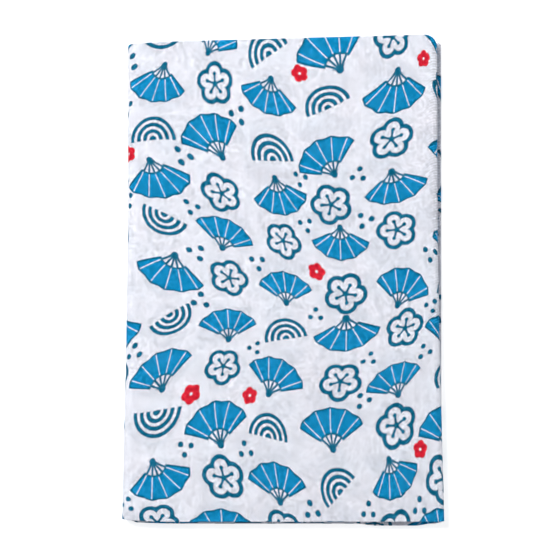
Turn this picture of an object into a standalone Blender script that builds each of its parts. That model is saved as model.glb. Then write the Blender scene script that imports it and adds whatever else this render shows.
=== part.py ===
"""A printed cotton hand towel, 34 by 90 cm, folded for the shelf.

The cloth is doubled across its width, then halved three times along its length, so it lies in eight layers
of two plies each. It is one sheet: the solid follows it back and forth from one raw end to the other, every
layer as thick as its two plies together and a little apart from the next. X runs across the stack from fold
to fold, Y from the selvages to the doubled edge, Z up from the underside. The origin is under the middle of
the stack.
"""

import bpy
import numpy as np

# Driving dimensions, in metres
LAYER = 0.0010  # two plies of cloth, lying together
GAP = 0.0003  # air between one layer and the next
HALF_WIDTH = 0.0544  # centre line to the top layer's side folds, at the doubled edge
HALF_LENGTH = 0.0855  # half the distance from the selvages to the doubled edge
FLARE = 0.0021  # how much further out each side lies at the selvages, where the folds are looser
FLARE_START = 0.018  # the sides run parallel from the doubled edge to this Y, and spread below it
FLARE_POWER = 1.2  # a little faster towards the selvages
DOUBLED_SLOPE = 0.027  # the doubled edge climbs to the right by this much for each metre
SELVAGE_CURL = 0.0006  # the selvage edge falls back this far at the left corner
DOUBLED_CURL = 0.0005  # and the doubled edge this far
CURL_SPAN = 0.018  # over this width
CROWN = 0.0005  # the top stands this much higher in the middle, where nothing presses it
TWIST = 0.0003  # and this much higher or lower at opposite corners
SQUARENESS = 0.8  # how much squarer than a half circle the widest fold is drawn

PITCH = LAYER + GAP
LAYERS = 8
WIDEST_TURN = (LAYERS - 1) * PITCH / 2

# The turns of the cloth in the order it makes them, from the raw end in layer 3 to the raw end in layer 4.
# Side is -1 for left and 1 for right. "Out" is how far the turn stands past the top layer's edge, at the
# selvages and at the doubled edge. "Flare" is how much of the spread towards the selvages it takes part in.
# "Corner" is the radius of its corner at the doubled edge, seen from above.
TURNS = (
    # side, from layer, to layer, out at selvages, out at doubled edge, flare, corner
    (-1, 3, 6, -0.0031, -0.0028, 1.0, 0.0004),
    (1, 6, 7, -0.0015, -0.0014, 1.0, 0.0042),
    (-1, 7, 2, -0.0016, -0.0014, 1.0, 0.0004),
    (1, 2, 1, 0.0021, 0.0019, 0.0, 0.0006),
    (-1, 1, 8, 0.0000, 0.0000, 1.0, 0.0004),
    (1, 8, 5, 0.0005, 0.0000, 1.0, 0.0042),
    (-1, 5, 4, -0.0046, -0.0042, 1.0, 0.0004),
)

# The two raw ends, both at the right: how far they stand past the top layer's edge
RAW_ENDS = {
    # layer: (at selvages, at doubled edge)
    3: (-0.0016, -0.0008),
    4: (-0.0009, -0.0013),
}

# How far each layer's edges stand out past the stack's, because the layers don't lie quite true
LAYER_ENDS = {
    # layer: (at selvages, at doubled edge)
    1: (0.0006, -0.0023),
    2: (0.0010, -0.0022),
    3: (0.0012, -0.0019),
    4: (0.0008, -0.0014),
    5: (0.0001, -0.0006),
    6: (-0.0003, -0.0003),
    7: (-0.0004, -0.0004),
    8: (0.0000, 0.0000),
}

# Sections along Y: fractions of the length, then distances from the doubled edge, where the layer rounds over
STATIONS = (0.0, 0.11, 0.22, 0.34, 0.46, 0.58, 0.70, 0.82, 0.92)
NOSE_STATIONS = (0.0030, 0.0005, 0.00018, 0.0)
NOSE_END = 0.95  # the rounding stops this share of the way to a point, which leaves a narrow flat
FLAT_POINTS = 6  # points along each layer between its two turns
TURN_POINTS = 7  # points in the tightest turn, to which wider ones add


def layer_height(layer):
    """Height of a layer's middle: the first lies on the surface, the others a pitch apart."""
    return LAYER / 2 + (layer - 1) * PITCH


def flare(y):
    """How much further out the top layer's side folds lie at Y: nothing, then more towards the selvages."""
    spread = np.clip((FLARE_START - y) / (FLARE_START + HALF_LENGTH), 0, 1)
    return FLARE * spread**FLARE_POWER


def corner_rounding(distance, radius):
    """How far a round corner of this radius draws the edge back, at this distance from the corner's side."""
    inside = np.clip(radius - distance, 0, radius)
    return radius - np.sqrt(radius**2 - inside**2)


def along(first, last, count):
    """Evenly spaced values between two ends, without the ends."""
    return np.linspace(first, last, count + 2)[1:-1]


def turn(side, first, second, apex, corner):
    """One turn of the cloth, as rows of x, height, selvage offset and doubled-edge offset.

    Seen along Y it is half a superellipse, as deep as it is high on each side of its centre. Its upper half
    ends where its upper layer does, and below that its ends draw over to where the lower layer's are.
    """
    half = abs(second - first) * PITCH / 2
    power = 2 / (2 + SQUARENESS * half / WIDEST_TURN)
    angle = np.radians(np.linspace(-90, 90, TURN_POINTS + round(2 * half / PITCH) + 1))
    reach = half * np.abs(np.cos(angle)) ** power
    climb = np.sign(second - first) * half * np.sign(np.sin(angle)) * np.abs(np.sin(angle)) ** power
    x = apex - side * (half - reach)
    height = (layer_height(first) + layer_height(second)) / 2 + climb
    lower, upper = sorted((first, second))
    rise = np.clip((height - layer_height(lower)) / half, 0, 1)[:, None]
    blend = rise**2 * (3 - 2 * rise)
    ends = np.array(LAYER_ENDS[lower]) * (1 - blend) + np.array(LAYER_ENDS[upper]) * blend
    ends[:, 1] -= corner_rounding(half - reach, corner)
    return np.column_stack([x, height, ends])


def flat(layer, start, stop, corners):
    """A layer's flat run from x = start to x = stop, as rows like those of a turn.

    Corners lists the apex and the corner radius of the turns at its two ends.
    """
    x = along(start, stop, FLAT_POINTS)
    ends = np.tile(LAYER_ENDS[layer], (FLAT_POINTS, 1))
    for apex, corner in corners:
        ends[:, 1] -= corner_rounding(np.abs(apex - x), corner)
    return np.column_stack([x, np.full(FLAT_POINTS, layer_height(layer)), ends])


def section(fraction):
    """The whole cloth seen along Y, at this fraction of the way from the selvages to the doubled edge."""
    spread = flare((2 * fraction - 1) * HALF_LENGTH)
    ends = {
        layer: HALF_WIDTH + spread + (1 - fraction) * low + fraction * high
        for layer, (low, high) in RAW_ENDS.items()
    }
    first_layer, last_layer = TURNS[0][1], TURNS[-1][2]
    place = ends[first_layer]
    rows = [[[place, layer_height(first_layer), *LAYER_ENDS[first_layer]]]]
    corners = []
    for side, first, second, low, high, share, corner in TURNS:
        apex = side * (HALF_WIDTH + share * spread + (1 - fraction) * low + fraction * high)
        centre = apex - side * abs(second - first) * PITCH / 2
        rows.append(flat(first, place, centre, [*corners, (apex, corner)]))
        rows.append(turn(side, first, second, apex, corner))
        place = centre
        corners = [(apex, corner)]
    rows.append(flat(last_layer, place, ends[last_layer], corners))
    rows.append([[ends[last_layer], layer_height(last_layer), *LAYER_ENDS[last_layer]]])
    return np.vstack(rows)


def ribbon():
    """The cloth's middle surface as a grid of points, a row for each station and a column along the cloth."""
    nose = [1 - distance / (2 * HALF_LENGTH) for distance in NOSE_STATIONS]
    grid = []
    for fraction in [*STATIONS, *nose]:
        x, z, selvage, doubled = section(fraction).T
        curl = np.clip(1 - (x + HALF_WIDTH) / CURL_SPAN, 0, None) ** 2
        low = -HALF_LENGTH - selvage + SELVAGE_CURL * curl
        high = HALF_LENGTH + DOUBLED_SLOPE * x + doubled - DOUBLED_CURL * curl
        y = low + (high - low) * fraction
        across, length = x / HALF_WIDTH, y / HALF_LENGTH
        lift = CROWN * (1 - across**2) * (1 - length**2) + TWIST * across * length
        z = z + lift * (z - LAYER / 2) / (2 * WIDEST_TURN)
        grid.append(np.column_stack([x, y, z]))
    return np.array(grid)


def centred(points):
    """The points moved so that their box, seen from above, is centred on the origin."""
    middle = (points.reshape(-1, 3).max(axis=0) + points.reshape(-1, 3).min(axis=0)) / 2
    return points - [middle[0], middle[1], 0]


def cotton():
    """White plain-weave cotton, matt."""
    material = bpy.data.materials.new("printed_cotton")
    material.use_nodes = True
    shader = material.node_tree.nodes["Principled BSDF"]
    shader.inputs["Base Color"].default_value = (0.80, 0.84, 0.89, 1)
    shader.inputs["Roughness"].default_value = 0.9
    shader.inputs["Metallic"].default_value = 0.0
    return material


def tenugui_cloth():
    """The folded cloth: its middle surface, thickened to a layer, and rounded where it is doubled."""
    points = centred(ribbon())
    rows, columns = points.shape[:2]
    mesh = bpy.data.meshes.new("tenugui_cloth")
    index = np.arange(rows * columns).reshape(rows, columns)
    quads = np.stack([index[:-1, :-1], index[:-1, 1:], index[1:, 1:], index[1:, :-1]], axis=-1)
    mesh.from_pydata(points.reshape(-1, 3).tolist(), [], quads.reshape(-1, 4).tolist())
    mesh.shade_smooth()
    mesh.materials.append(cotton())
    cloth = bpy.data.objects.new("tenugui_cloth", mesh)
    bpy.context.scene.collection.objects.link(cloth)

    fullness = cloth.vertex_groups.new(name="fullness")
    fullness.add(index.ravel().tolist(), 1.0, "REPLACE")
    for row, distance in zip(index[-len(NOSE_STATIONS):], NOSE_STATIONS):
        towards_end = np.clip(1 - distance / (LAYER / 2), 0, NOSE_END)
        fullness.add(row.tolist(), float(np.sqrt(1 - towards_end**2)), "REPLACE")

    thicken = cloth.modifiers.new("layer", "SOLIDIFY")
    thicken.thickness = LAYER
    thicken.offset = 0
    thicken.use_even_offset = True
    thicken.vertex_group = fullness.name
    return cloth


for old in list(bpy.data.objects):
    bpy.data.objects.remove(old)
tenugui_cloth()
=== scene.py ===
import bpy
import numpy as np
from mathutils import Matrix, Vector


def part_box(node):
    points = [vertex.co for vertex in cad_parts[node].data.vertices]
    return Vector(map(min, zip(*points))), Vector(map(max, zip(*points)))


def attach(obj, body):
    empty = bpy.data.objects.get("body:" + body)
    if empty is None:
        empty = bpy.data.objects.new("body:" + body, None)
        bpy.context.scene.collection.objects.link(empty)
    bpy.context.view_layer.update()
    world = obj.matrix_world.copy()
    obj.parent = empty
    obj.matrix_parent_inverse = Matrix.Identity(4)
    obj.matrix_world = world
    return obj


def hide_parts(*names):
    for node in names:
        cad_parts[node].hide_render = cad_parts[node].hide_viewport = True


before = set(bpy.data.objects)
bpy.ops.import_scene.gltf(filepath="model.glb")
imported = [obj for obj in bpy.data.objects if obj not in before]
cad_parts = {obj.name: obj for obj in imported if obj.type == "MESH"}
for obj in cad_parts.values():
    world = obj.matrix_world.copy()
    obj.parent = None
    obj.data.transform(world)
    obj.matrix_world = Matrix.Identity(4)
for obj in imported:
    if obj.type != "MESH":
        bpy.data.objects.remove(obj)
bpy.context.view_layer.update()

# The towel's cloth: one length of thin white plain-weave cotton, with woven selvages and two raw cut ends.
# It is doubled across its width, then halved three times along its length, and lies in eight doubled layers.
# Nothing is sewn: the folds are only pressed by hand, so they are round, and the layers lie a little apart.
CLOTH_WIDTH = 0.34  # metres, from selvage to selvage
CLOTH_LENGTH = 0.90  # from cut end to cut end
CLOTH_THICKNESS = 0.00034
LAYER = 0.0010  # two plies lying together, with the air between them
PITCH = 0.0013  # from one layer to the next
LAYERS = 8
HALF_WIDTH = 0.0544  # centre line to the top layer's side folds, at the doubled edge
HALF_LENGTH = 0.0855  # half the distance from the selvages to the doubled edge
FLARE = 0.0021  # how much further out each side lies at the selvages, where the folds are looser
FLARE_START = 0.018  # the sides run parallel from the doubled edge to this Y, and spread below it
FLARE_POWER = 1.2
DOUBLED_SLOPE = 0.027  # the doubled edge climbs to the right by this much for each metre
SELVAGE_CURL = 0.0006  # the selvage edge falls back this far at the left corner
DOUBLED_CURL = 0.0005  # and the doubled edge this far
CURL_SPAN = 0.018  # over this width
CROWN = 0.0005  # the top stands this much higher in the middle, where nothing presses it
TWIST = 0.0003  # and this much higher or lower at opposite corners
SQUARENESS = 0.8  # how much squarer than a half circle the widest fold is
WIDEST_TURN = (LAYERS - 1) * PITCH / 2
PLY_OFFSET = (LAYER - CLOTH_THICKNESS) / 2  # from the middle of a layer to the middle of each of its plies

# The turns the cloth makes, from the raw end in layer 3 to the raw end in layer 4: -1 is the left side and 1
# the right. "Out" is how far a turn stands past the top layer's edge, "flare" how much of the spread towards
# the selvages it takes part in, and "corner" the radius of its corner at the doubled edge, from above.
TURNS = (
    # side, from layer, to layer, out at selvages, out at doubled edge, flare, corner, points round it
    (-1, 3, 6, -0.0031, -0.0028, 1.0, 0.0004, 11),
    (1, 6, 7, -0.0015, -0.0014, 1.0, 0.0042, 11),
    (-1, 7, 2, -0.0016, -0.0014, 1.0, 0.0004, 13),
    (1, 2, 1, 0.0021, 0.0019, 0.0, 0.0006, 11),
    (-1, 1, 8, 0.0000, 0.0000, 1.0, 0.0004, 23),
    (1, 8, 5, 0.0005, 0.0000, 1.0, 0.0042, 15),
    (-1, 5, 4, -0.0046, -0.0042, 1.0, 0.0004, 9),
)
RAW_ENDS = {
    # layer: out at selvages, out at doubled edge
    3: (-0.0016, -0.0008),
    4: (-0.0009, -0.0013),
}
LAYER_ENDS = {
    # layer: outer ply out at its selvage, inner ply out at its selvage, both out at the doubled edge
    1: (0.0009, 0.0004, -0.0023),
    2: (0.0012, 0.0008, -0.0022),
    3: (0.0011, 0.0014, -0.0019),
    4: (0.0010, 0.0007, -0.0014),
    5: (0.0003, -0.0001, -0.0006),
    6: (-0.0001, -0.0005, -0.0003),
    7: (-0.0005, -0.0002, -0.0004),
    8: (0.0000, -0.0006, 0.0000),
}
PEEK = 0.0010  # how much further one layer stands out past the others at the selvages, for a short way
PEEK_LAYER = 4
PEEK_MIDDLE = 0.0405
PEEK_HALF_LENGTH = 0.0105
PEEK_FADE = 0.003  # over which it draws back to the others at each end
PLY_WANDER = 0.00007  # how far the plies ripple from the layer's own line

# Soft troughs and ridges in the face, listed one by one: each runs between two points and fades off round
# them
CREASES = (
    # x and y of one end, x and y of the other, height, half width
    (-0.050, 0.0785, 0.046, 0.0815, 0.00016, 0.0030),
    (-0.0515, 0.070, -0.053, -0.060, 0.00010, 0.0022),
    (0.050, 0.070, 0.0525, -0.030, 0.00012, 0.0025),
    (0.051, 0.081, 0.030, 0.058, 0.00022, 0.0032),
    (-0.052, 0.080, -0.036, 0.066, -0.00016, 0.0030),
    (-0.047, -0.052, -0.014, -0.071, 0.00020, 0.0042),
    (-0.020, 0.012, 0.036, 0.020, -0.00018, 0.0060),
    (-0.040, -0.016, 0.012, -0.009, -0.00014, 0.0055),
    (0.020, -0.034, 0.050, -0.052, 0.00018, 0.0046),
    (-0.010, 0.046, 0.022, 0.036, 0.00015, 0.0050),
    (-0.030, -0.078, 0.010, -0.0765, 0.00014, 0.0030),
)

FACE_POINTS = 84  # grid points along the top layer, where the cloth is seen
HIDDEN_POINTS = 13  # and along each other layer
EDGE_STEPS = np.array([0.0, 0.0003, 0.0008, 0.0016, 0.0028])  # grid lines near a cut or woven edge
NOSE_STEPS = np.array([0.004, 0.0022, 0.001, 0.0004])  # and near the doubled edge
NOSE_POINTS = 9  # round the doubled edge
FACE_ROWS = 76
HIDDEN_ROWS = 22


def corner_rounding(distance, radius):
    """How far a round corner of this radius draws the edge back, at this distance from the corner's side."""
    inside = np.clip(radius - distance, 0, radius)
    return radius - np.sqrt(radius**2 - inside**2)


def flat_run(layer, start, stop, along, corners):
    """A layer's flat run: x goes straight from start to stop, and the height is the layer's.

    Along holds the places between the two, from 0 to 1. The rows are x, height and the three offsets of
    LAYER_ENDS, each a grid of stations by places.
    """
    x = start[:, None] + (stop - start)[:, None] * along
    height = np.full_like(x, LAYER / 2 + (layer - 1) * PITCH)
    ends = [np.full_like(x, out) for out in LAYER_ENDS[layer]]
    for apex, corner in corners:
        ends[2] -= corner_rounding(np.abs(apex[:, None] - x), corner)
    return np.stack([x, height, *ends])


def turn(side, first, second, apex, corner, points):
    """A turn between two layers: half a superellipse, as deep as half its height, with its tip at the apex.

    Its upper half ends where its upper layer does, and below that its ends draw over to where the lower
    layer's are.
    """
    half = abs(second - first) * PITCH / 2
    power = 2 / (2 + SQUARENESS * half / WIDEST_TURN)
    angle = np.linspace(-np.pi / 2, np.pi / 2, points)
    depth = half - half * np.abs(np.cos(angle)) ** power
    climb = np.sign(second - first) * half * np.sign(angle) * np.abs(np.sin(angle)) ** power
    x = apex[:, None] - side * depth
    middle = LAYER / 2 + ((first + second) / 2 - 1) * PITCH
    height = np.broadcast_to(middle + climb, x.shape)
    rise = np.clip(climb / half + 1, 0, 1)
    blend = rise**2 * (3 - 2 * rise)
    lower, upper = sorted((first, second))
    ends = [
        np.broadcast_to(low * (1 - blend) + high * blend, x.shape).copy()
        for low, high in zip(LAYER_ENDS[lower], LAYER_ENDS[upper])
    ]
    ends[2] -= corner_rounding(depth, corner)
    return np.stack([x, height, *ends])


def folded_path(fraction):
    """The folded cloth's middle line at each station, a fraction of the way from selvages to doubled edge."""
    y = (2 * fraction - 1) * HALF_LENGTH
    spread = FLARE * np.clip((FLARE_START - y) / (FLARE_START + HALF_LENGTH), 0, 1) ** FLARE_POWER
    near_end = EDGE_STEPS[:-1] / (2 * HALF_WIDTH)
    hidden = np.linspace(0, 1, HIDDEN_POINTS + 2)[1:-1]
    first_run = np.append(near_end, hidden)
    cut = {
        layer: HALF_WIDTH + spread + (1 - fraction) * low + fraction * high
        for layer, (low, high) in RAW_ENDS.items()
    }
    first_layer, last_layer = TURNS[0][1], TURNS[-1][2]
    pieces = []
    place, corners, along = cut[first_layer], [], first_run
    for side, first, second, low, high, share, corner, points in TURNS:
        apex = side * (HALF_WIDTH + share * spread + (1 - fraction) * low + fraction * high)
        centre = apex - side * abs(second - first) * PITCH / 2
        pieces.append(flat_run(first, place, centre, along, [*corners, (apex, corner)]))
        pieces.append(turn(side, first, second, apex, corner, points))
        place, corners = centre, [(apex, corner)]
        along = np.linspace(0, 1, FACE_POINTS + 2)[1:-1] if second == LAYERS else hidden
    pieces.append(flat_run(last_layer, place, cut[last_layer], 1 - first_run[::-1], corners))
    return np.concatenate(pieces, axis=2)


def stations():
    """The grid lines across the cloth, from the outer ply's selvage over the doubled edge to the inner ply's.

    The rows are the fraction of the way to the doubled edge, the offset from the layer's middle, the distance
    past the centre of the doubled edge's half circle, and 0 to 1 from the outer ply to the inner one.
    """
    near_edge = EDGE_STEPS / (2 * HALF_LENGTH)
    near_nose = 1 - NOSE_STEPS / (2 * HALF_LENGTH)
    face = np.linspace(near_edge[-1], near_nose[0], FACE_ROWS + 2)[1:-1]
    hidden = np.linspace(near_edge[-1], near_nose[0], HIDDEN_ROWS + 2)[1:-1]
    outer = np.concatenate([near_edge, face, near_nose])
    inner = np.concatenate([near_edge, hidden, near_nose])[::-1]
    angle = np.linspace(0, np.pi, NOSE_POINTS)
    fraction = np.concatenate([outer, np.ones(NOSE_POINTS), inner])
    offset = np.concatenate([np.ones(len(outer)), np.cos(angle), -np.ones(len(inner))]) * PLY_OFFSET
    past = np.concatenate([np.zeros(len(outer)), np.sin(angle), np.zeros(len(inner))]) * PLY_OFFSET
    side = np.concatenate([np.zeros(len(outer)), angle / np.pi, np.ones(len(inner))])
    return fraction, offset, past, side


def crease_height(x, y):
    """The height of the troughs and ridges at x, y: each falls off as a bell curve from its own line."""
    total = np.zeros_like(x)
    for x1, y1, x2, y2, height, width in CREASES:
        run_x, run_y = x2 - x1, y2 - y1
        share = np.clip(((x - x1) * run_x + (y - y1) * run_y) / (run_x**2 + run_y**2), 0, 1)
        away = np.hypot(x - x1 - share * run_x, y - y1 - share * run_y)
        fade = np.sin(np.pi * np.clip(0.15 + 0.7 * share, 0, 1))
        total += height * fade * np.exp(-((away / width) ** 2))
    return total


def ripple(along, across):
    """A gentle unevenness of each ply: a sum of crossing sine waves, centimetres long, from -1 to 1."""
    waves = np.sin(95 * along + 40 * across) + np.sin(61 * along - 83 * across + 1.7)
    waves += 0.7 * np.sin(210 * along + 150 * across + 0.6) + 0.5 * np.sin(170 * along - 260 * across + 2.9)
    return waves / 3.2


def folded_sheet():
    """The folded cloth as a grid: each ply is the path moved sideways, and a half circle joins the two.

    Also gives each grid point's place on the flat cloth, in metres along and across it.
    """
    fraction, offset, past, side = stations()
    x, z, outer_out, inner_out, doubled = folded_path(fraction)
    along = np.append(0, np.cumsum(np.hypot(np.diff(x), np.diff(z)).mean(axis=0)))
    along = along * CLOTH_LENGTH / along[-1]
    round_nose = np.hypot(np.diff(past), np.diff(offset))
    across = np.append(0, np.cumsum(np.hypot(2 * HALF_LENGTH * np.diff(fraction), round_nose)))
    across = across * CLOTH_WIDTH / across[-1]

    loose = np.abs(z - LAYER / 2 - (PEEK_LAYER - 1) * PITCH) < PITCH / 2
    window = np.clip((PEEK_HALF_LENGTH - np.abs(x - PEEK_MIDDLE)) / PEEK_FADE, 0, 1)
    out = outer_out * (1 - side[:, None]) + inner_out * side[:, None]
    out = out + PEEK * loose * window * window * (3 - 2 * window)
    curl = np.clip(1 - (x + HALF_WIDTH) / CURL_SPAN, 0, None) ** 2
    low = -HALF_LENGTH - out + SELVAGE_CURL * curl
    high = HALF_LENGTH - LAYER / 2 + DOUBLED_SLOPE * x + doubled - DOUBLED_CURL * curl
    y = low + (high - low) * fraction[:, None] + past[:, None]

    slope = np.stack([np.gradient(x, axis=1), np.gradient(z, axis=1)])
    slope /= np.hypot(*slope)
    depth = (z - LAYER / 2) / (2 * WIDEST_TURN)
    wander = PLY_WANDER * ripple(along[None, :], across[:, None] * 1.3) * np.clip(4 * depth, 0, 1)
    shift = offset[:, None] + wander
    lift = CROWN * (1 - (x / HALF_WIDTH) ** 2) * (1 - (y / HALF_LENGTH) ** 2)
    lift += TWIST * (x / HALF_WIDTH) * (y / HALF_LENGTH)
    lifted = z + lift * depth + crease_height(x, y) * np.clip(depth, 0, 1) ** 3
    points = np.stack([x - shift * slope[1], y, lifted + shift * slope[0]], axis=-1)
    flat_places = np.stack(np.broadcast_arrays(along[None, :], across[:, None]), axis=-1)
    return points, flat_places


def grid_mesh(name, points, places):
    """Quads over a grid of points, with a UV map, "cloth", of each point's place on the flat cloth."""
    rows, columns = points.shape[:2]
    index = np.arange(rows * columns).reshape(rows, columns)
    quads = np.stack([index[:-1, :-1], index[:-1, 1:], index[1:, 1:], index[1:, :-1]], axis=-1).reshape(-1, 4)
    mesh = bpy.data.meshes.new(name)
    mesh.from_pydata(points.reshape(-1, 3), [], quads)
    uv = mesh.uv_layers.new(name="cloth")
    uv.data.foreach_set("uv", places.reshape(-1, 2)[quads.ravel()].astype(np.float32).ravel())
    mesh.shade_smooth()
    return mesh


def centre_on(points, node):
    """The points moved so that the middle of their box, seen from above, is the middle of the node's."""
    low, high = (np.array(corner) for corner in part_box(node))
    flat = points.reshape(-1, 3)
    move = (low + high) / 2 - (flat.min(axis=0) + flat.max(axis=0)) / 2
    return points + [move[0], move[1], 0]


sheet_points, sheet_places = folded_sheet()
sheet_points = centre_on(sheet_points, "tenugui_cloth")
towel = bpy.data.objects.new("towel_sheet", grid_mesh("towel_sheet", sheet_points, sheet_places))
bpy.context.scene.collection.objects.link(towel)
thicken = towel.modifiers.new("cloth_thickness", "SOLIDIFY")
thicken.thickness = CLOTH_THICKNESS
thicken.offset = 0
thicken.use_even_offset = True
thicken.material_offset = 1


# The print and the cotton: white yarn, a little cool in tone, with an all-over print in three inks.
# The print is a traditional toss of open fans, plum blossoms, nested arcs and dots, on the outer side only.
# The yarn is thin, so the print on the ply underneath shows through the top one as soft grey marks.
YARN_WARM = (0.800, 0.790, 0.860, 1)
YARN_COOL = (0.760, 0.800, 0.880, 1)
INK_BLUE = (0.001, 0.242, 0.510, 1)
INK_TEAL = (0.002, 0.124, 0.226, 1)
INK_RED = (0.655, 0.012, 0.030, 1)
UNDER_INK = (0.33, 0.38, 0.46, 1)  # what the print below looks like through the cloth
SHOW_THROUGH = 0.19
THREAD_PITCH = 0.47  # millimetres from thread to thread, both ways, as is usual for such cloth
STREAK_STRENGTH = 0.55  # how much lighter or darker one whole thread is than the next
FLECK_STRENGTH = 1.0  # how much lighter or darker one crossing of two threads is than the next
CHECK_LIGHT_STRENGTH = 1.2  # how much lighter the lengthwise threads are painted where they lie on top: painted light
CELL_WIDTH = 21.0  # the print is laid out in staggered cells, in millimetres
CELL_HEIGHT = 16.8
PRINT_SHIFT = (150.0, 109.2, 0.0)  # from the cloth's corner to the print's first cell, along and across


class Graph:
    """Adds nodes to a node tree. Each call takes numbers or sockets and gives back the new node's output."""

    def __init__(self, tree):
        self.tree = tree

    def node(self, kind, output=0, inputs=(), **settings):
        made = self.tree.nodes.new(kind)
        for key, value in settings.items():
            setattr(made, key, value)
        for slot, value in dict(inputs).items():
            if isinstance(value, bpy.types.NodeSocket):
                self.tree.links.new(value, made.inputs[slot])
            else:
                made.inputs[slot].default_value = value
        return made.outputs[output]

    def math(self, operation, *values):
        return self.node("ShaderNodeMath", inputs=enumerate(values), operation=operation)

    def vector(self, operation, *values):
        output = "Value" if operation == "LENGTH" else 0
        return self.node("ShaderNodeVectorMath", output, enumerate(values), operation=operation)

    def split(self, vector):
        made = self.tree.nodes.new("ShaderNodeSeparateXYZ")
        self.tree.links.new(vector, made.inputs[0])
        return made.outputs

    def join(self, x, y, z=0.0):
        return self.node("ShaderNodeCombineXYZ", inputs=enumerate((x, y, z)))

    def smallest(self, *values):
        found = values[0]
        for value in values[1:]:
            found = self.math("MINIMUM", found, value)
        return found

    def largest(self, *values):
        found = values[0]
        for value in values[1:]:
            found = self.math("MAXIMUM", found, value)
        return found

    def mix(self, share, first, second, blend="MIX"):
        inputs = {0: share, 6: first, 7: second}
        return self.node("ShaderNodeMix", 2, inputs, data_type="RGBA", blend_type=blend)

    def inside(self, distance, softness):
        """1 where a signed distance is below 0, 0 where it is above, with an edge as wide as the softness."""
        below = self.math("MULTIPLY", softness, -1.0)
        inputs = {"Value": distance, "From Min": softness, "From Max": below, "To Min": 0.0, "To Max": 1.0}
        return self.node("ShaderNodeMapRange", inputs=inputs, interpolation_type="SMOOTHSTEP")


def drifted(graph, place, scale, reach, detail=0.0):
    """The place moved by a smooth random amount, up to half the reach, which changes at the given scale."""
    inputs = {"Vector": place, "Scale": scale, "Detail": detail}
    noise = graph.node("ShaderNodeTexNoise", "Color", inputs, noise_dimensions="2D")
    move = graph.vector("MULTIPLY", graph.vector("SUBTRACT", noise, (0.5, 0.5, 0.5)), (reach, reach, 0))
    return graph.vector("ADD", place, move)


def only_where(graph, distance, present):
    """The signed distance where present is 1, and one far outside the shape where it is 0."""
    return graph.math("ADD", distance, graph.math("MULTIPLY", graph.math("SUBTRACT", 1.0, present), 50.0))


def petal_place(graph, place, petals):
    """The plane folded round its centre into one petal: out along its middle, across it, and the radius."""
    x, y, _ = graph.split(place)
    radius = graph.vector("LENGTH", place)
    folded = graph.math("PINGPONG", graph.math("ARCTAN2", y, x), np.pi / petals)
    outward = graph.math("MULTIPLY", radius, graph.math("COSINE", folded))
    sideways = graph.math("MULTIPLY", radius, graph.math("SINE", folded))
    return outward, sideways, radius


def disc(graph, x, y, centre, radius):
    """Signed distance to a disc centred at (centre, 0)."""
    from_centre = graph.vector("LENGTH", graph.join(graph.math("SUBTRACT", x, centre), y))
    return graph.math("SUBTRACT", from_centre, radius)


def fan(graph, place):
    """An open folding fan: a solid leaf with fine pale ribs and a pleated rim, on thin sticks with a rivet.

    Gives the signed distances of the solid leaf and of the line work, in millimetres.
    """
    leaf_inner, leaf_outer, spread, drop = 4.4, 13.2, np.radians(60), 6.8
    rib_angle = np.radians(24)
    x, y, _ = graph.split(place)
    up = graph.math("ADD", y, drop)
    radius = graph.vector("LENGTH", graph.join(x, up))
    angle = graph.math("ARCTAN2", x, up)
    turned = graph.math("ABSOLUTE", angle)
    from_rib = graph.math("MULTIPLY", graph.math("PINGPONG", angle, rib_angle / 2), radius)
    pleat = graph.math("MULTIPLY", graph.math("PINGPONG", angle, rib_angle / 2), 2.6)
    outer = graph.math("SUBTRACT", graph.math("ADD", radius, pleat), leaf_outer)
    inner = graph.math("SUBTRACT", leaf_inner, radius)
    beside = graph.math("MULTIPLY", graph.math("SUBTRACT", turned, spread), radius)
    leaf = graph.largest(outer, inner, beside)
    rib = graph.math("SUBTRACT", 0.15, from_rib)
    solid = graph.largest(leaf, rib)
    outline = graph.math("SUBTRACT", graph.math("ABSOLUTE", graph.math("ADD", leaf, 0.3)), 0.3)
    stick_spread = graph.math("SUBTRACT", beside, 0.25)
    from_stick = graph.math("SUBTRACT", from_rib, 0.34)
    stick = graph.largest(graph.math("SUBTRACT", radius, leaf_inner + 0.2), stick_spread, from_stick)
    rivet = graph.math("SUBTRACT", radius, 1.15)
    return solid, graph.smallest(outline, stick, rivet)


def blossom(graph, place):
    """A plum blossom in outline: five round petals, five stamens with dotted tips, and a round centre."""
    x, y, radius = petal_place(graph, place, 5)
    petal = disc(graph, x, y, 3.5, 2.85)
    outline = graph.math("SUBTRACT", graph.math("ABSOLUTE", petal), 0.70)
    beyond = graph.largest(graph.math("SUBTRACT", 0.4, x), graph.math("SUBTRACT", x, 2.9))
    stamen = graph.largest(graph.math("SUBTRACT", y, 0.38), beyond)
    tip = disc(graph, x, y, 3.1, 0.66)
    centre = graph.math("SUBTRACT", radius, 0.95)
    # Where two petals' outlines would cross inside the flower, only the outer part is drawn.
    inner_cut = graph.math("SUBTRACT", 2.2, radius)
    return graph.smallest(graph.largest(outline, inner_cut), stamen, tip, centre)


def nested_arcs(graph, place):
    """Three arcs one inside the other over a small dot, open below."""
    x, y, _ = graph.split(place)
    up = graph.math("ADD", y, 3.2)
    radius = graph.vector("LENGTH", graph.join(x, up))
    ring = graph.math("SUBTRACT", graph.math("PINGPONG", graph.math("SUBTRACT", radius, 2.7), 1.08), 0.63)
    outermost = graph.math("SUBTRACT", radius, 7.6)
    below = graph.math("SUBTRACT", -0.3, up)
    return graph.largest(ring, outermost, below)


def cell_hash(graph, cell_x, cell_y, seed):
    """Three random numbers from 0 to 1, and a fourth, the same all over a cell."""
    made = graph.tree.nodes.new("ShaderNodeTexWhiteNoise")
    graph.tree.links.new(graph.join(cell_x, cell_y, seed), made.inputs["Vector"])
    return *graph.split(made.outputs["Color"]), made.outputs["Value"]


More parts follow.
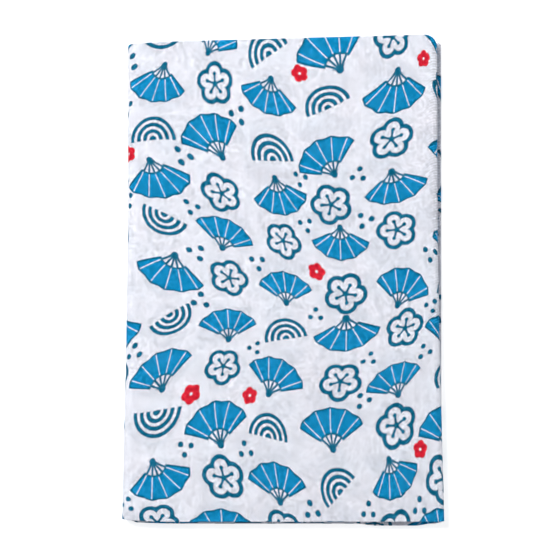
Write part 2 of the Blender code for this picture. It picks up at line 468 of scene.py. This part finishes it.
def shaken(graph, place, hashes, jitter, tilt, two_way=True, smallest=0.9, largest=1.1):
    """The place in a cell, moved by up to the jitter, turned by up to the tilt, and scaled.

    Two-way cells are upside down half of the time.
    """
    move = graph.join(
        graph.math("MULTIPLY", graph.math("SUBTRACT", hashes[0], 0.5), 2 * jitter),
        graph.math("MULTIPLY", graph.math("SUBTRACT", hashes[1], 0.5), 2 * jitter),
    )
    turn_angle = graph.math("MULTIPLY", graph.math("SUBTRACT", hashes[2], 0.5), 2 * tilt)
    if two_way:
        upside = graph.math("GREATER_THAN", hashes[3], 0.5)
        turn_angle = graph.math("ADD", turn_angle, graph.math("MULTIPLY", upside, np.pi))
    moved = graph.vector("SUBTRACT", place, move)
    inputs = {"Vector": moved, "Angle": turn_angle}
    turned = graph.node("ShaderNodeVectorRotate", inputs=inputs, rotation_type="Z_AXIS")
    size_hash = graph.math("FRACT", graph.math("MULTIPLY", hashes[3], 13.0))
    size = graph.math("MULTIPLY_ADD", size_hash, 1 / largest - 1 / smallest, 1 / smallest)
    return graph.vector("MULTIPLY", turned, graph.join(size, size, 1.0))


def staggered_place(graph, across, up, odd):
    """The place in a diamond-shaped cell, in millimetres, and the cell's two numbers.

    The diamonds are two cells wide and two high, and centred on every second cell, as on a draughts board.
    """
    half_sum = graph.math("MULTIPLY", graph.math("ADD", across, up), 0.5)
    half_difference = graph.math("MULTIPLY", graph.math("SUBTRACT", across, up), 0.5)
    first = graph.math("ADD", half_sum, 0.5 if odd else 0.0)
    second = graph.math("ADD", half_difference, 0.0 if odd else 0.5)
    left = graph.math("SUBTRACT", graph.math("FRACT", first), 0.5)
    right = graph.math("SUBTRACT", graph.math("FRACT", second), 0.5)
    x = graph.math("MULTIPLY", graph.math("ADD", left, right), CELL_WIDTH)
    y = graph.math("MULTIPLY", graph.math("SUBTRACT", left, right), CELL_HEIGHT)
    return graph.join(x, y), graph.math("FLOOR", first), graph.math("FLOOR", second)


def print_group():
    """The print as a node group: how much of each ink there is at a place on the flat cloth, in millimetres.

    Fans stand in every second cell, blossoms and arcs in the others, and dots or small red blossoms at some
    corners.
    """
    tree = bpy.data.node_groups.new("fan_and_blossom_print", "ShaderNodeTree")
    tree.interface.new_socket("Place", in_out="INPUT", socket_type="NodeSocketVector")
    tree.interface.new_socket("Softness", in_out="INPUT", socket_type="NodeSocketFloat")
    for name in ("Blue", "Teal", "Red"):
        tree.interface.new_socket(name, in_out="OUTPUT", socket_type="NodeSocketFloat")
    start = tree.nodes.new("NodeGroupInput")
    end = tree.nodes.new("NodeGroupOutput")
    graph = Graph(tree)
    place, softness = start.outputs["Place"], start.outputs["Softness"]

    place = drifted(graph, graph.vector("SUBTRACT", place, PRINT_SHIFT), 0.016, 14)
    x, y, _ = graph.split(place)
    across = graph.math("DIVIDE", x, CELL_WIDTH)
    up = graph.math("DIVIDE", y, CELL_HEIGHT)

    fan_place, *fan_cell = staggered_place(graph, across, up, odd=False)
    fan_hash = cell_hash(graph, *fan_cell, 3.0)
    fan_place = shaken(graph, fan_place, fan_hash, 1.3, np.radians(28), smallest=0.90, largest=1.06)
    solid, fan_lines = fan(graph, fan_place)

    line_place, *line_cell = staggered_place(graph, across, up, odd=True)
    line_hash = cell_hash(graph, *line_cell, 11.0)
    line_place = shaken(graph, line_place, line_hash, 1.8, np.radians(40), smallest=0.94, largest=1.14)
    is_arc = graph.math("LESS_THAN", graph.math("FRACT", graph.math("MULTIPLY", line_hash[3], 7.0)), 0.42)
    is_flower = graph.math("SUBTRACT", 1.0, is_arc)
    arcs = only_where(graph, nested_arcs(graph, line_place), is_arc)
    flowers = only_where(graph, blossom(graph, line_place), is_flower)

    corner_x = graph.math("ADD", across, 0.5)
    corner_y = graph.math("ADD", up, 0.5)
    corner_place = graph.join(
        graph.math("MULTIPLY", graph.math("SUBTRACT", graph.math("FRACT", corner_x), 0.5), CELL_WIDTH),
        graph.math("MULTIPLY", graph.math("SUBTRACT", graph.math("FRACT", corner_y), 0.5), CELL_HEIGHT),
    )
    corner_hash = cell_hash(graph, graph.math("FLOOR", corner_x), graph.math("FLOOR", corner_y), 23.0)
    corner_place = shaken(graph, corner_place, corner_hash, 0.7, np.pi, two_way=False)
    kind = corner_hash[3]
    dot_x, dot_y, _ = petal_place(graph, corner_place, 3)
    dots = only_where(graph, disc(graph, dot_x, dot_y, 2.25, 1.0), graph.math("LESS_THAN", kind, 0.42))
    bud_x, bud_y, bud_radius = petal_place(graph, corner_place, 5)
    bud = graph.largest(disc(graph, bud_x, bud_y, 1.6, 1.4), graph.math("SUBTRACT", 0.45, bud_radius))
    bud = only_where(graph, bud, graph.math("GREATER_THAN", kind, 0.91))

    tree.links.new(graph.inside(solid, softness), end.inputs["Blue"])
    tree.links.new(graph.inside(graph.smallest(fan_lines, arcs, flowers, dots), softness), end.inputs["Teal"])
    tree.links.new(graph.inside(bud, softness), end.inputs["Red"])
    return tree


def weave(graph, place):
    """Plain weave: each thread is a half round that rises over one crossing thread and dips under the next.

    Gives the height from 0 to 1, and how light each thread is, about 0: uneven spinning, with painted light
    where the lengthwise thread lies on top.
    """
    x, y, _ = graph.split(drifted(graph, place, 0.035, 0.9, detail=3.0))
    count_x = graph.math("DIVIDE", x, THREAD_PITCH)
    count_y = graph.math("DIVIDE", y, THREAD_PITCH)
    crossing = graph.join(graph.math("FLOOR", count_x), graph.math("FLOOR", count_y))
    fleck = graph.node("ShaderNodeTexWhiteNoise", "Value", {"Vector": crossing}, noise_dimensions="2D")
    heights = []
    shades = []
    for main, cross, phase, seed in ((count_x, count_y, 0.0, 5.0), (count_y, count_x, 1.0, 9.0)):
        thread = graph.math("FLOOR", main)
        round_top = graph.math("SINE", graph.math("MULTIPLY", graph.math("FRACT", main), np.pi))
        rise = graph.math("MULTIPLY", graph.math("ADD", graph.math("ADD", cross, thread), phase - 0.5), np.pi)
        over = graph.math("MULTIPLY_ADD", graph.math("SINE", rise), 0.5, 0.5)
        heights.append(graph.math("MULTIPLY", round_top, over))
        streak = graph.join(graph.math("MULTIPLY", thread, 0.57), graph.math("MULTIPLY", cross, 0.03), seed)
        inputs = {"Vector": streak, "Scale": 1.0, "Detail": 2.0, "Roughness": 0.72}
        shades.append(graph.node("ShaderNodeTexNoise", inputs=inputs))
    height = graph.largest(*heights)
    shade = graph.math("MULTIPLY", graph.math("SUBTRACT", graph.math("ADD", *shades), 1.0), STREAK_STRENGTH)
    shade = graph.math("MULTIPLY_ADD", graph.math("SUBTRACT", fleck, 0.5), FLECK_STRENGTH, shade)
    # Painted light: where the lengthwise thread is on top it is painted lighter than the crosswise one, as if
    # it caught more light, in places more so.
    inputs = {"Vector": place, "Scale": 0.11, "Detail": 1.0}
    patches = graph.node("ShaderNodeTexNoise", inputs=inputs, noise_dimensions="2D")
    painted_check_light = graph.math("MULTIPLY", graph.math("SUBTRACT", *heights), patches)
    shade = graph.math("MULTIPLY_ADD", painted_check_light, CHECK_LIGHT_STRENGTH, shade)
    return height, shade


def cotton(name, print_tree, ink_strength, shows_through):
    """Printed white cotton. The back is the same cloth with its ink fainter."""
    material = bpy.data.materials.new(name)
    material.use_nodes = True
    shader = material.node_tree.nodes["Principled BSDF"]
    graph = Graph(material.node_tree)
    flat = graph.node("ShaderNodeUVMap", uv_map="cloth")
    place = graph.vector("MULTIPLY", flat, (1000, 1000, 0))
    x, y, _ = graph.split(place)
    height, shade = weave(graph, place)

    inks = graph.tree.nodes.new("ShaderNodeGroup")
    inks.node_tree = print_tree
    inks.inputs["Softness"].default_value = 0.10
    graph.tree.links.new(drifted(graph, place, 1.4, 0.36, detail=1.0), inks.inputs["Place"])

    inputs = {"Vector": place, "Scale": 0.12, "Detail": 1.0}
    cloud = graph.node("ShaderNodeTexNoise", inputs=inputs, noise_dimensions="2D")
    inputs = {"Vector": place, "Scale": 0.07, "Detail": 1.0}
    tint = graph.node("ShaderNodeTexNoise", inputs=inputs, noise_dimensions="2D")
    tone = graph.math("MULTIPLY_ADD", shade, 0.42, 1.0)
    tone = graph.math("MULTIPLY_ADD", graph.math("SUBTRACT", cloud, 0.5), 0.08, tone)
    # Painted shade: the tone is darker where the thread surface lies low, between and under the threads.
    tone = graph.math("MULTIPLY", tone, graph.math("MULTIPLY_ADD", height, 0.42, 0.755))
    colour = graph.mix(tint, YARN_WARM, YARN_COOL)
    if shows_through:
        below = graph.tree.nodes.new("ShaderNodeGroup")
        below.node_tree = print_tree
        below.inputs["Softness"].default_value = 0.60
        mirrored = graph.join(x, graph.math("SUBTRACT", 1000 * CLOTH_WIDTH, y))
        graph.tree.links.new(mirrored, below.inputs["Place"])
        under = graph.largest(below.outputs["Blue"], below.outputs["Teal"], below.outputs["Red"])
        colour = graph.mix(graph.math("MULTIPLY", under, SHOW_THROUGH), colour, UNDER_INK)
    # The ink covers a little less where the tone is lighter: on the tops of the threads, on the lighter
    # threads, and where the lengthwise threads carry their painted light.
    ink_cover = graph.math("MULTIPLY_ADD", graph.math("SUBTRACT", tone, 1.0), -0.12, ink_strength)
    for ink, ink_colour in (("Blue", INK_BLUE), ("Teal", INK_TEAL), ("Red", INK_RED)):
        share = graph.math("MINIMUM", graph.math("MULTIPLY", inks.outputs[ink], ink_cover), inks.outputs[ink])
        colour = graph.mix(share, colour, ink_colour)
    # The weave's tone, with its thread-to-thread unevenness, its painted shade between the threads and its
    # painted light on the lengthwise threads, is stronger on the ink.
    inked = graph.largest(inks.outputs["Blue"], inks.outputs["Teal"], inks.outputs["Red"])
    tone = graph.math("POWER", tone, graph.math("MULTIPLY_ADD", inked, 0.9, 1.0))
    colour = graph.mix(1.0, colour, graph.join(tone, tone, tone), "MULTIPLY")
    graph.tree.links.new(colour, shader.inputs["Base Color"])
    roughness = graph.math("MULTIPLY_ADD", height, -0.06, 0.95)
    graph.tree.links.new(roughness, shader.inputs["Roughness"])
    shader.inputs["Specular IOR Level"].default_value = 0.05
    shader.inputs["Sheen Weight"].default_value = 0.015
    shader.inputs["Sheen Roughness"].default_value = 0.5
    bumped = graph.math("MULTIPLY_ADD", shade, 0.3, height)
    inputs = {"Height": bumped, "Strength": 0.10, "Distance": 0.00010}
    graph.tree.links.new(graph.node("ShaderNodeBump", inputs=inputs), shader.inputs["Normal"])
    return material


print_tree = print_group()
towel.data.materials.append(cotton("printed_cotton_face", print_tree, 1.01, True))
towel.data.materials.append(cotton("printed_cotton_back", print_tree, 0.45, False))
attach(towel, "root")
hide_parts("tenugui_cloth")


# The cut ends: the lengthwise threads of the cloth, which nothing binds, so their tips stand out a little.
# They are the same white cotton, a fifth of a millimetre thick, at the right, in the third and fourth layers.
THREAD_EVERY = 0.0011  # metres along the cut, where a tip shows
THREAD_RADIUS = 0.00010
THREAD_SIDES = 3
THREAD_RINGS = 4


def thread_tips(edge, outward, places, rng):
    """Tapered three-sided tubes that start on the cut edge and run outwards, each bent a little its own way.

    Edge and outward are the grid's last points and directions; places the distances along the cut, in metres.
    """
    spots = np.arange(0.002, places[-1] - 0.002, THREAD_EVERY)
    spots = spots + rng.uniform(-0.3, 0.3, len(spots)) * THREAD_EVERY
    root = np.stack([np.interp(spots, places, edge[:, axis]) for axis in range(3)], axis=-1)
    way = np.stack([np.interp(spots, places, outward[:, axis]) for axis in range(3)], axis=-1)
    length = rng.uniform(0.0004, 0.0013, len(spots))
    bend = rng.uniform(-0.45, 0.45, (len(spots), 3)) * [0.3, 1.0, 0.15]
    step = np.linspace(-0.15, 1, THREAD_RINGS)[None, :, None]
    course = way[:, None] * step + bend[:, None] * np.clip(step, 0, 1) ** 2
    line = root[:, None] + length[:, None, None] * course
    turn_angle = 2 * np.pi * np.arange(THREAD_SIDES) / THREAD_SIDES
    ring = np.stack([np.zeros(THREAD_SIDES), np.cos(turn_angle), np.sin(turn_angle)], axis=-1)
    taper = THREAD_RADIUS * np.linspace(1, 0.45, THREAD_RINGS)[None, :, None, None]
    return line[:, :, None] + taper * ring


def tube_mesh(name, rings):
    """Closed tubes from rings of points: quads between neighbouring rings, and a face on each end."""
    count, steps, sides = rings.shape[:3]
    index = np.arange(count * steps * sides).reshape(count, steps, sides)
    following = np.roll(index, -1, axis=2)
    walls = np.stack([index[:, :-1], following[:, :-1], following[:, 1:], index[:, 1:]], axis=-1)
    caps = np.concatenate([index[:, 0, ::-1], index[:, -1]])
    mesh = bpy.data.meshes.new(name)
    mesh.from_pydata(rings.reshape(-1, 3), [], [*walls.reshape(-1, 4).tolist(), *caps.tolist()])
    mesh.shade_smooth()
    return mesh


random_threads = np.random.default_rng(17)
tips = []
for column, inner_column in ((0, 1), (-1, -2)):
    outward = sheet_points[:, column] - sheet_points[:, inner_column]
    outward /= np.linalg.norm(outward, axis=1, keepdims=True)
    tips.append(thread_tips(sheet_points[:, column], outward, sheet_places[:, column, 1], random_threads))
fray = bpy.data.objects.new("cut_end_threads", tube_mesh("cut_end_threads", np.concatenate(tips)))
bpy.context.scene.collection.objects.link(fray)


def loose_yarn():
    """White cotton yarn, uneven in tone from thread to thread."""
    material = bpy.data.materials.new("loose_cotton_yarn")
    material.use_nodes = True
    shader = material.node_tree.nodes["Principled BSDF"]
    graph = Graph(material.node_tree)
    here = graph.node("ShaderNodeTexCoord", "Object")
    tone = graph.node("ShaderNodeTexNoise", inputs={"Vector": here, "Scale": 900.0, "Detail": 1.0})
    tone = graph.math("MULTIPLY_ADD", tone, 0.25, 0.86)
    graph.tree.links.new(
        graph.mix(1.0, YARN_WARM, graph.join(tone, tone, tone), "MULTIPLY"), shader.inputs["Base Color"]
    )
    shader.inputs["Roughness"].default_value = 0.9
    shader.inputs["Specular IOR Level"].default_value = 0.25
    shader.inputs["Sheen Weight"].default_value = 0.12
    return material


fray.data.materials.append(loose_yarn())
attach(fray, "root")


# The surface the towel lies on: a plain white matt board, much wider than the view, under the lowest layer.
# It is faintly lit from inside, as a product photographer's light table is. It is not part of the towel.
BOARD_GLOW = 0.70
FLOOR_HALF = 8.0
FLOOR_DROP = 0.0002  # just under the cloth, so that the two faces don't share a plane

floor_mesh = bpy.data.meshes.new("floor")
corners = [(x, y, -FLOOR_DROP) for x, y in ((-1, -1), (1, -1), (1, 1), (-1, 1))]
floor_mesh.from_pydata([(x * FLOOR_HALF, y * FLOOR_HALF, z) for x, y, z in corners], [], [(0, 1, 2, 3)])
floor = bpy.data.objects.new("floor", floor_mesh)
bpy.context.scene.collection.objects.link(floor)
board = bpy.data.materials.new("white_board")
board.use_nodes = True
board_shader = board.node_tree.nodes["Principled BSDF"]
board_shader.inputs["Base Color"].default_value = (0.60, 0.60, 0.60, 1)
board_shader.inputs["Emission Color"].default_value = (1.0, 1.0, 1.0, 1)
board_shader.inputs["Emission Strength"].default_value = BOARD_GLOW
board_shader.inputs["Roughness"].default_value = 0.85
board_shader.inputs["Specular IOR Level"].default_value = 0.2
floor_mesh.materials.append(board)


# The light: one studio panel high above, to the left of the towel and behind it, and an even pale surround.
# The panel is so high that the stack's own shade is only a few millimetres wide, at its right and front.
KEY_PLACE = (-0.36, 0.40, 1.12)
KEY_SIZE = 0.30
KEY_POWER = 14.2
SURROUND = 0.345

key_light = bpy.data.lights.new("key_panel", "AREA")
key_light.shape = "SQUARE"
key_light.size = KEY_SIZE
key_light.energy = KEY_POWER
key_light.color = (1.0, 0.99, 0.985)
key = bpy.data.objects.new("key_panel", key_light)
key.location = KEY_PLACE
key.visible_camera = False
bpy.context.scene.collection.objects.link(key)
surround = bpy.data.worlds.new("surround")
surround.use_nodes = True
surround.node_tree.nodes["Background"].inputs["Color"].default_value = (0.96, 0.98, 1.0, 1)
surround.node_tree.nodes["Background"].inputs["Strength"].default_value = SURROUND
bpy.context.scene.world = surround
bpy.context.scene.view_settings.view_transform = "Standard"


# The camera: straight above the towel, as in the photograph, with the whole face in view and even margins.
CAMERA_HEIGHT = 0.75
CAMERA_ASIDE = (-0.0011, 0.0004)  # the towel lies this much right of and below the picture's middle
IMAGE_SIDE = 560  # pixels
PIXELS_PER_METRE = 2830  # on the towel's face
FACE_HEIGHT = 0.0105
SENSOR = 0.036

camera_data = bpy.data.cameras.new("camera")
camera_data.sensor_width = 1000 * SENSOR
camera_data.lens = 1000 * SENSOR * (CAMERA_HEIGHT - FACE_HEIGHT) * PIXELS_PER_METRE / IMAGE_SIDE
camera = bpy.data.objects.new("camera", camera_data)
camera.location = (*CAMERA_ASIDE, CAMERA_HEIGHT)
bpy.context.scene.collection.objects.link(camera)
bpy.context.scene.camera = camera
